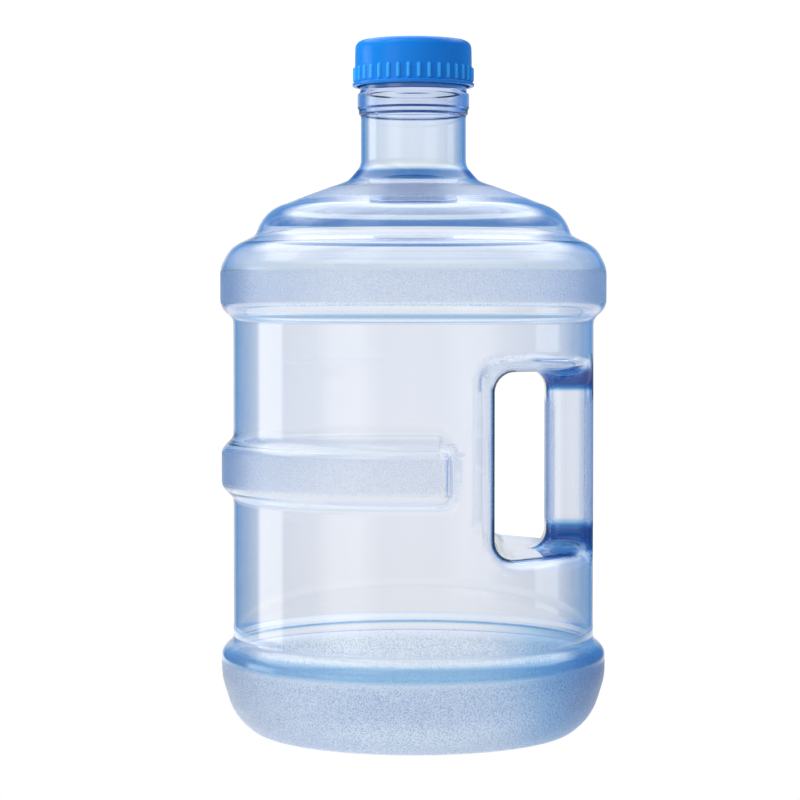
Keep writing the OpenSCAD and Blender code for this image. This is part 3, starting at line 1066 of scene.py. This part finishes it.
def area_light(name, location, target, size, power, tint=(1, 1, 1)):
    """A rectangular soft light at location, turned towards target, for the opaque parts."""
    data = bpy.data.lights.new(name, "AREA")
    data.shape = "RECTANGLE"
    data.size, data.size_y = size
    data.energy = power
    data.color = tint
    lamp = bpy.data.objects.new(name, data)
    lamp.location = location
    lamp.rotation_euler = aim(location, target)
    lamp.visible_glossy = False
    lamp.visible_transmission = False
    bpy.context.scene.collection.objects.link(lamp)
    return lamp


def aim(location, target):
    """The rotation that points an object's -Z axis from location to target."""
    away = np.array(target, float) - np.array(location, float)
    flat = math.hypot(away[0], away[1])
    return (math.pi / 2 + math.atan2(away[2], flat), 0.0, math.atan2(away[1], away[0])
            - math.pi / 2)


def build_camera(studio):
    """The camera, level with the upper band and aimed at the jug's middle."""
    data = bpy.data.cameras.new("camera")
    data.lens = studio.lens
    data.clip_start, data.clip_end = 0.01, 100.0
    camera = bpy.data.objects.new("camera", data)
    sideways = -7 * MM
    pitch = math.radians(1.97)
    camera.location = (sideways, -studio.distance, studio.eye_height)
    camera.rotation_euler = (math.pi / 2 - pitch, 0.0, 0.0)
    bpy.context.scene.collection.objects.link(camera)
    bpy.context.scene.camera = camera


def render_settings():
    """Enough bounces for light to pass both walls, and an untoned white."""
    scene = bpy.context.scene
    scene.cycles.max_bounces = 32
    scene.cycles.transmission_bounces = 28
    scene.cycles.glossy_bounces = 8
    scene.cycles.transparent_max_bounces = 16
    scene.cycles.caustics_reflective = False
    scene.cycles.caustics_refractive = True
    scene.cycles.sample_clamp_indirect = 6.0
    scene.cycles.use_denoising = True
    scene.view_settings.view_transform = "Standard"
    scene.view_settings.look = "None"


# ---------------------------------------------------------------- operators


class JUG_OT_shell(bpy.types.Operator):
    """Builds the blown shell with its hollow grip, band, foot and neck."""

    bl_idname = "jug.shell"
    bl_label = "Shell"

    def execute(self, context):
        scene = context.scene
        material = clear_shell_material(
            scene.jug_finish, shared_group("Moulding Marks", moulding_marks_group),
            shared_group("Mould Stipple", stipple_group))
        shell = build_shell(scene.jug_shell, material)
        shell.visible_shadow = False
        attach(shell, "bottle")
        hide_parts(*SHELL_NODES)
        return {"FINISHED"}


class JUG_OT_cap(bpy.types.Operator):
    """Builds the ribbed screw cap with its thread and plug skirt."""

    bl_idname = "jug.cap"
    bl_label = "Cap"

    def execute(self, context):
        scene = context.scene
        material = cap_material(
            scene.jug_finish, shared_group("Moulding Marks", moulding_marks_group))
        cap = build_cap(scene.jug_cap, scene.jug_shell, material)
        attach(cap, "cap")
        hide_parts("screw_cap")
        return {"FINISHED"}


class JUG_OT_seal(bpy.types.Operator):
    """Builds the sealing ring between the rim and the cap."""

    bl_idname = "jug.seal"
    bl_label = "Sealing ring"

    def execute(self, context):
        scene = context.scene
        material = gasket_material(
            scene.jug_finish, shared_group("Moulding Marks", moulding_marks_group))
        seal = build_gasket(scene.jug_shell, material)
        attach(seal, "lift")
        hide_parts("cap_gasket")
        return {"FINISHED"}


class JUG_OT_studio(bpy.types.Operator):
    """Builds the pale floor, the soft light and the camera."""

    bl_idname = "jug.studio"
    bl_label = "Studio"

    def execute(self, context):
        build_world()
        build_floor()
        area_light("key", (-1.2, -0.55, 1.35), (0, 0, 0.3), (1.3, 1.3), 26.0)
        build_camera(context.scene.jug_studio)
        render_settings()
        return {"FINISHED"}


class JUG_PT_panel(bpy.types.Panel):
    """Lists the jug's operators."""

    bl_idname = "JUG_PT_panel"
    bl_label = "Water Jug"
    bl_space_type = "VIEW_3D"
    bl_region_type = "UI"
    bl_category = "Water Jug"

    def draw(self, context):
        for operator in OPERATORS:
            self.layout.operator(operator.bl_idname)


OPERATORS = (JUG_OT_shell, JUG_OT_cap, JUG_OT_seal, JUG_OT_studio)
GROUPS = {
    "jug_shell": JugShellSizes,
    "jug_cap": JugCapSizes,
    "jug_finish": JugFinish,
    "jug_studio": JugStudio,
}


def register():
    """Registers the classes and the scene's groups of properties."""
    for cls in (*GROUPS.values(), *OPERATORS, JUG_PT_panel):
        bpy.utils.register_class(cls)
    for name, cls in GROUPS.items():
        setattr(bpy.types.Scene, name, PointerProperty(type=cls))


def unregister():
    """Removes what register added."""
    for name in GROUPS:
        delattr(bpy.types.Scene, name)
    for cls in reversed((*GROUPS.values(), *OPERATORS, JUG_PT_panel)):
        bpy.utils.unregister_class(cls)


def main():
    """Builds every piece and the studio, in order."""
    register()
    bpy.ops.jug.shell()
    bpy.ops.jug.cap()
    bpy.ops.jug.seal()
    bpy.ops.jug.studio()


if __name__ == "__main__":
    main()
